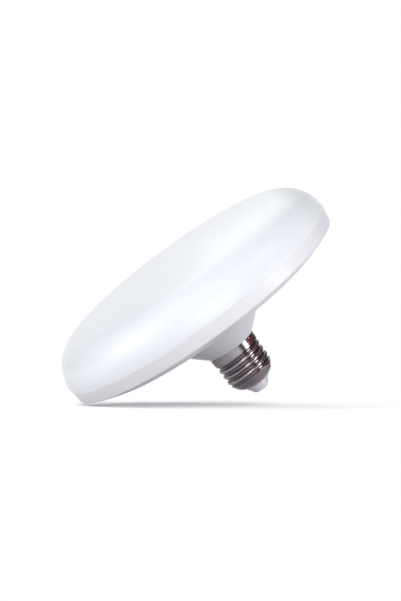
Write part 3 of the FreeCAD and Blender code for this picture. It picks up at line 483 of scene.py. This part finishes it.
# %% Driver board
BOARD_HALF = 0.6 * MM
GRID = 2.54 * MM
SPACE_SHARE = 0.24
TRACK_SHARE = 0.2
GREEN_MASK = (0.03, 0.2, 0.09)
GREEN_TRACK = (0.09, 0.36, 0.17)
FIBRE_TAN = (0.5, 0.45, 0.27)
FIBRE_PALE = (0.62, 0.58, 0.38)


def green_board():
    finish = Finish("green_board", {"Specular IOR Level": 0.5})
    x, y, z = finish.axes()
    along = abs((x / GRID).math("FRACT") - 0.5)
    across = abs((z / GRID).math("FRACT") - 0.5)
    turn = finish.ease(finish.cloud(5 * MM, stretch=(1, 1, 1.6), detail=0), 0.49, 0.51)
    upright = finish.ease(along, SPACE_SHARE, TRACK_SHARE) * turn
    level = finish.ease(across, SPACE_SHARE, TRACK_SHARE) * (1 - turn)
    tracks = upright + level
    face = finish.ease(abs(y), BOARD_HALF - 0.06 * MM, BOARD_HALF - 0.03 * MM)
    fibres = finish.cloud(0.25 * MM, stretch=(12, 1, 12))
    mask_colour = finish.blend(tracks, GREEN_MASK, GREEN_TRACK)
    edge_colour = finish.blend(fibres, FIBRE_TAN, FIBRE_PALE)
    finish.give({
        "Base Color": finish.blend(face, edge_colour, mask_colour),
        "Roughness": 0.65 - 0.35 * face + 0.1 * fibres,
    })
    finish.relief(tracks * face + 0.2 * fibres, 0.03 * MM)
    finish.dress("driver_board")


green_board()

# %% [markdown]
# ## The cans
# An electrolytic capacitor is an aluminium can in a shrink sleeve, with a grey stripe down its negative
# side and a cross scored in its bare end, so that it can vent. The two cans differ only in their place and
# size, so one function makes both finishes. Every part that stands on this side of the board has tinned
# pins below its seat, and a second short function adds them.

# %% Capacitor cans
CAN_UP = 45 * MM
SLEEVE_BLACK = (0.02, 0.02, 0.024)
SLEEVE_STRIPE = (0.42, 0.43, 0.45)
CAN_METAL = (0.78, 0.78, 0.79)
SLEEVE_ROLL = 0.7 * MM
ROLL_EDGE = 0.15 * MM
STRIPE_SHARE = -0.8
STRIPE_EDGE = 0.02
CROSS_SHARE = 0.69
CROSS_EDGE = 0.03
PIN_TOP = -0.85 * MM
PIN_EDGE = 0.05 * MM


def tinned_pins(finish, y, colour, roughness, extra_metal=0.0):
    """Gives the colour and roughness to the part, and bright tin to its pins below its seat."""
    pins = finish.ease(y, PIN_TOP - PIN_EDGE, PIN_TOP + PIN_EDGE)
    finish.give({
        "Base Color": finish.blend(pins, colour, TIN),
        "Metallic": pins.math("MAXIMUM", extra_metal),
        "Roughness": roughness + 0.05 * pins,
    })


def can_sleeve(node, across, radius, end):
    finish = Finish(node + "_sleeve", {"IOR": 1.5, "Specular IOR Level": 0.5})
    x, y, z = finish.axes()
    beside, above = x - across, z - CAN_UP
    from_middle = finish.from_line(beside, above)
    within = finish.ease(from_middle, radius - SLEEVE_ROLL + ROLL_EDGE, radius - SLEEVE_ROLL)
    bare = within * finish.ease(y, end + 0.1 * MM, end + 0.04 * MM)
    lines = finish.ease(abs(beside).math("MINIMUM", abs(above)), 0.16 * MM, 0.08 * MM)
    reach = finish.ease(from_middle / radius, CROSS_SHARE + CROSS_EDGE, CROSS_SHARE - CROSS_EDGE)
    cross = lines * reach * bare
    stripe = finish.ease(beside / radius, STRIPE_SHARE + STRIPE_EDGE, STRIPE_SHARE - STRIPE_EDGE)
    shrink = finish.cloud(0.8 * MM, stretch=(1, 6, 1))
    sleeve = finish.blend(stripe, SLEEVE_BLACK, SLEEVE_STRIPE)
    colour = finish.blend(bare, sleeve, CAN_METAL)
    tinned_pins(finish, y, colour, 0.2 + 0.16 * shrink, extra_metal=bare)
    finish.relief(0.2 * shrink - cross, 0.08 * MM)
    finish.dress(node)


can_sleeve("bulk_capacitor", -11.5 * MM, 4.0 * MM, -12.9 * MM)
can_sleeve("output_capacitor", 11.0 * MM, 3.15 * MM, -11.9 * MM)

# %% [markdown]
# ## The choke
# The choke is a drum of dark, speckled ferrite with a winding of enamelled copper. Hundreds of turns as
# geometry would never be seen, so they are a wave along the drum's axis in the relief, and in the colour
# as painted shade between the turns and painted sheen on their tops.
# The enamel is a thin clear coat over the metal.

# %% Ferrite and copper
FERRITE_DARK = (0.05, 0.05, 0.055)
FERRITE_GREY = (0.12, 0.12, 0.13)
COPPER_RED = (0.62, 0.24, 0.1)
COPPER_GOLD = (0.85, 0.45, 0.2)
WIRE_PITCH = 0.36 * MM


def ferrite():
    finish = Finish("ferrite", {"Specular IOR Level": 0.45})
    x, y, z = finish.axes()
    grains = finish.cloud(0.12 * MM)
    tinned_pins(finish, y, finish.blend(grains, FERRITE_DARK, FERRITE_GREY), 0.45 + 0.25 * grains)
    finish.relief(grains, 0.02 * MM)
    finish.dress("choke_core")


def copper_wire():
    finish = Finish("copper_wire", {"Metallic": 1.0, "Coat Weight": 0.6, "Coat Roughness": 0.1})
    x, y, z = finish.axes()
    # The colour follows each turn: painted shade between the turns and painted sheen on their tops.
    turns = 0.5 + 0.5 * (y * (2 * math.pi / WIRE_PITCH)).math("SINE")
    layers = finish.cloud(0.9 * MM, stretch=(3, 1, 3))
    finish.give({
        "Base Color": finish.blend(0.6 * turns + 0.4 * layers, COPPER_RED, COPPER_GOLD),
        "Roughness": 0.3 + 0.15 * layers,
    })
    finish.relief(turns, 0.1 * MM)
    finish.dress("choke_winding")


ferrite()
copper_wire()

# %% [markdown]
# ## The film capacitor and the fusible resistor
# The film capacitor is dipped in resin, which sets glossy and slightly uneven. The resistor's lacquer
# carries colour bands, each one a stripe at its own height, and its bare wire ends start where the lacquer
# stops.

# %% Dipped film capacitor and fusible resistor
RESIN_RED = (0.42, 0.07, 0.03)
RESIN_DARK = (0.3, 0.045, 0.02)
LACQUER = (0.35, 0.5, 0.45)
LACQUER_SHADE = (0.28, 0.42, 0.38)
RESISTOR_UP = 22 * MM
RESISTOR_HALF = 3.25 * MM
BAND_HALF = 0.24 * MM
BAND_EDGE = 0.05 * MM
BAND_BROWN = (0.12, 0.05, 0.02)
BAND_BLACK = (0.01, 0.01, 0.01)
BAND_GOLD = (0.6, 0.42, 0.1)
BANDS = (
    (-1.9 * MM, BAND_BROWN),
    (-0.9 * MM, BAND_BLACK),
    (0.1 * MM, BAND_BLACK),
    (1.6 * MM, BAND_GOLD),
)


def dipped_resin():
    finish = Finish("dipped_resin", {"IOR": 1.55, "Specular IOR Level": 0.5})
    x, y, z = finish.axes()
    sag = finish.cloud(2.5 * MM, detail=1)
    tinned_pins(finish, y, finish.blend(sag, RESIN_DARK, RESIN_RED), 0.12 + 0.12 * sag)
    finish.relief(sag, 0.15 * MM)
    finish.dress("film_capacitor")


def resistor_coat():
    finish = Finish("resistor_coat", {"IOR": 1.5, "Specular IOR Level": 0.5})
    x, y, z = finish.axes()
    drips = finish.cloud(0.8 * MM, detail=2)
    length = z - RESISTOR_UP
    colour = finish.blend(drips, LACQUER_SHADE, LACQUER)
    for middle, band in BANDS:
        colour = finish.blend(finish.stripe(length, middle, BAND_HALF, BAND_EDGE), colour, band)
    wire = finish.ease(abs(length), RESISTOR_HALF, RESISTOR_HALF + BAND_EDGE)
    finish.give({
        "Base Color": finish.blend(wire, colour, TIN),
        "Metallic": wire,
        "Roughness": 0.22 + 0.12 * drips,
    })
    finish.relief(drips, 0.04 * MM)
    finish.dress("fuse_resistor")


dipped_resin()
resistor_coat()

# %% [markdown]
# ## The chips
# The parts on the board's other side are moulded in black epoxy, with tinned legs beyond their sides. The
# mould leaves the epoxy finely pitted and dull, so one function serves all three: only the place and the
# width differ. The small resistors are white ceramic with a black glaze on top, between tinned ends.

# %% Moulded packages
EPOXY = (0.022, 0.022, 0.025)
EPOXY_WORN = (0.055, 0.055, 0.058)
CHIP_UP = 37 * MM
CHIP_BARE = 1.15 * MM
GLAZE_TOP = 1.1 * MM


def black_package(node, across, half_width):
    finish = Finish(node + "_package", {"Specular IOR Level": 0.4})
    x, y, z = finish.axes()
    legs = finish.ease(abs(x - across), half_width, half_width + 0.04 * MM)
    pits = finish.cloud(0.12 * MM)
    finish.give({
        "Base Color": finish.blend(legs, finish.blend(pits, EPOXY, EPOXY_WORN), TIN),
        "Metallic": legs,
        "Roughness": 0.6 - 0.3 * legs + 0.15 * pits,
    })
    finish.relief(pits, 0.02 * MM)
    finish.dress(node)


def chip_resistors():
    finish = Finish("chip_resistors_glaze", {"Specular IOR Level": 0.5})
    x, y, z = finish.axes()
    ends = finish.ease(abs(z - CHIP_UP), CHIP_BARE, CHIP_BARE + 0.05 * MM)
    top = finish.ease(y, GLAZE_TOP - 0.02 * MM, GLAZE_TOP)
    speckle = finish.cloud(0.15 * MM)
    body = finish.blend(top, FRAME_WHITE, finish.blend(speckle, EPOXY, EPOXY_WORN))
    finish.give({
        "Base Color": finish.blend(ends, body, TIN),
        "Metallic": ends,
        "Roughness": 0.25 + 0.2 * speckle,
    })
    finish.relief(speckle, 0.01 * MM)
    finish.dress("chip_resistors")


black_package("bridge_rectifier", 0.0, 1.95 * MM)
black_package("driver_chip", -9.0 * MM, 1.95 * MM)
black_package("diode", 9.5 * MM, 2.15 * MM)
chip_resistors()

# %% [markdown]
# ## The leads
# Two leads bring the mains up from the cap, and two feed the LED board. They are stranded wire in coloured
# vinyl sleeves, satin and slightly wavy along their length. One function makes all four, because only the
# colour differs. Where the sleeve has been handled it is a little paler.

# %% Lead sleeves
SLEEVES = {
    "live_lead": (0.16, 0.065, 0.03),
    "neutral_lead": (0.03, 0.1, 0.42),
    "led_lead_positive": (0.5, 0.02, 0.02),
    "led_lead_negative": (0.02, 0.02, 0.022),
}


def lead_sleeve(node, colour):
    finish = Finish(node + "_sleeve", {"IOR": 1.5, "Specular IOR Level": 0.4})
    waves = finish.cloud(0.7 * MM, detail=2)
    worn = tuple(0.75 * share + 0.06 for share in colour)
    finish.give({
        "Base Color": finish.blend(finish.ease(waves, 0.35, 0.8), colour, worn),
        "Roughness": 0.38 + 0.2 * waves,
    })
    finish.relief(waves, 0.03 * MM)
    finish.dress(node)


for node, colour in SLEEVES.items():
    lead_sleeve(node, colour)

# %% [markdown]
# ## The studio: a white surround and a dim room
# The photograph has a pure white background, but a world that bright would wash the lamp out. Light Path
# tells the world which ray asks. The camera sees white, and diffuse light gets a plain grey level. A
# mirror ray sees the white backdrop only close behind the lamp, and elsewhere a dim room with one warm
# patch to the right of the picture.

# %% World
AMBIENT = 0.3
ROOM_LEVEL = (0.10, 0.09, 0.095)
ROOM_WARM = (0.22, 0.07, 0.06)
BACKDROP_WHITE = (1.0, 1.0, 1.0)
WARM_SIDE = tuple(PICTURE_RIGHT * 0.93 - PICTURE_DOWN * 0.36)
WARM_EDGE = (0.85, 0.98)
BACKDROP_EDGE = (-0.95, -0.75)

world = bpy.data.worlds.new("studio")
bpy.context.scene.world = world
sky = Graph(world)
direction = sky.node("TexCoord", {}, {}, output="Generated")
toward_room = sky.along(direction, tuple(-PICTURE_FORWARD))
toward_side = sky.along(direction, WARM_SIDE)
room = sky.blend(sky.ease(toward_side, *WARM_EDGE), ROOM_LEVEL, ROOM_WARM)
mirrored = sky.blend(sky.ease(toward_room, *BACKDROP_EDGE), BACKDROP_WHITE, room)
camera_ray = sky.node("LightPath", {}, {})
seen = camera_ray + camera_ray.beside("Is Transmission Ray")
mirror_ray = camera_ray.beside("Is Glossy Ray")
plain = sky.blend(seen, (AMBIENT, AMBIENT, AMBIENT), BACKDROP_WHITE)
background = sky.tree.nodes["Background"]
sky.feed(background.inputs["Color"], sky.blend(mirror_ray, plain, mirrored))
print("ambient level", AMBIENT)

# %% [markdown]
# ## Soft boxes
# Four large soft boxes shape the lamp, from the front, the left, the right, and from above and behind it.
# The narrow one at the right also draws the bright line down the cap. Two small ones draw the streaks on
# the dome. Each level is what a white card at the lamp would show if it faced that box alone, so the power
# follows from the distance: a box at d metres needs level * (pi * d)^2.

# %% Soft boxes
LAMP_MIDDLE = Vector((0, 0, 50)) * MM
PICTURE_UP = -PICTURE_DOWN
SOFT_BOXES = (
    # name, then its direction to the right, up and toward the camera, its distance, width, height and level
    ("front_box", (0.0, 0.12, 1.0), 1.3, 0.8, 0.8, 0.55),
    ("left_box", (-0.95, 0.06, 0.3), 1.2, 0.8, 0.8, 0.7),
    ("right_box", (0.9, 0.1, 0.42), 1.2, 0.35, 0.8, 0.42),
    ("crown_box", (-0.2, 0.75, -0.6), 1.2, 0.8, 0.8, 0.25),
    ("streak_box", (-0.74, 0.6, 0.3), 1.2, 0.22, 0.4, 0.05),
    ("top_box", (0.37, 0.81, 0.42), 1.2, 0.25, 0.4, 0.07),
)


def from_picture(right, up, toward_camera):
    """A direction given by the picture's right and up and the way to the camera."""
    return (PICTURE_RIGHT * right + PICTURE_UP * up - PICTURE_FORWARD * toward_camera).normalized()


def soft_box(name, direction, distance, width, height, level):
    light = bpy.data.lights.new(name, "AREA")
    light.shape = "RECTANGLE"
    light.size = width
    light.size_y = height
    light.energy = level * (math.pi * distance) ** 2
    place = LAMP_MIDDLE + direction * distance
    item = bpy.data.objects.new(name, light)
    item.matrix_world = Matrix.Translation(place) @ direction.to_track_quat("Z", "Y").to_matrix().to_4x4()
    item.visible_camera = False
    bpy.context.scene.collection.objects.link(item)
    print(name, "level", level, "power", round(light.energy, 2), "W")


for name, toward, distance, width, height, level in SOFT_BOXES:
    soft_box(name, from_picture(*toward), distance, width, height, level)

# %% [markdown]
# ## The floor
# The picture sees its floor almost edge-on, so the shadow is a thin ellipse. The floor is one flat sheet,
# a little below the lamp's lowest point, as the gap over the shadow in the photograph tells. It shows
# white to the camera and to mirror rays, but it throws only half of the light back up, because the lamp's
# underside is dark in the photograph. Its back is clear, so it hides nothing from below.

# %% Floor
FLOOR_SIZE = 0.7
FLOOR_TILT = math.radians(1.4)
FLOOR_GAP = 1.3 * MM
FLOOR_WHITE = (1.5, 1.5, 1.5)
FLOOR_BOUNCE = (0.5, 0.5, 0.5)

floor_up = (PICTURE_UP * math.cos(FLOOR_TILT) + PICTURE_FORWARD * math.sin(FLOOR_TILT)).normalized()
rim_points = [vertex.co for name in ("rear_housing", "cover") for vertex in nodes[name].data.vertices]
lowest = min(floor_up.dot(point) for point in rim_points)
floor_mesh = bmesh.new()
bmesh.ops.create_grid(floor_mesh, x_segments=1, y_segments=1, size=FLOOR_SIZE / 2)
floor = bpy.data.objects.new("floor", bpy.data.meshes.new("floor"))
floor_mesh.to_mesh(floor.data)
floor_mesh.free()
under_lamp = LAMP_MIDDLE + floor_up * (lowest - FLOOR_GAP - floor_up.dot(LAMP_MIDDLE))
floor.matrix_world = Matrix.Translation(under_lamp) @ floor_up.to_track_quat("Z", "Y").to_matrix().to_4x4()
bpy.context.scene.collection.objects.link(floor)


def floor_finish():
    material = bpy.data.materials.new("floor")
    graph = Graph(material)
    camera_ray = graph.node("LightPath", {}, {})
    shown = camera_ray + camera_ray.beside("Is Glossy Ray") + camera_ray.beside("Is Transmission Ray")
    lit = graph.node("BsdfDiffuse", {}, {"Color": FLOOR_WHITE})
    bounce = graph.node("BsdfDiffuse", {}, {"Color": FLOOR_BOUNCE})
    front = graph.node("MixShader", {}, {0: shown, 1: bounce, 2: lit})
    clear = graph.node("BsdfTransparent", {}, {})
    back = graph.node("NewGeometry", {}, {}, output="Backfacing")
    surface = graph.node("MixShader", {}, {0: back, 1: front, 2: clear})
    graph.feed(graph.tree.nodes["Material Output"].inputs["Surface"], surface)
    floor.data.materials.append(material)


floor_finish()
print("floor", FLOOR_SIZE, "m across, under the lamp by", round(FLOOR_GAP / MM, 2), "mm")
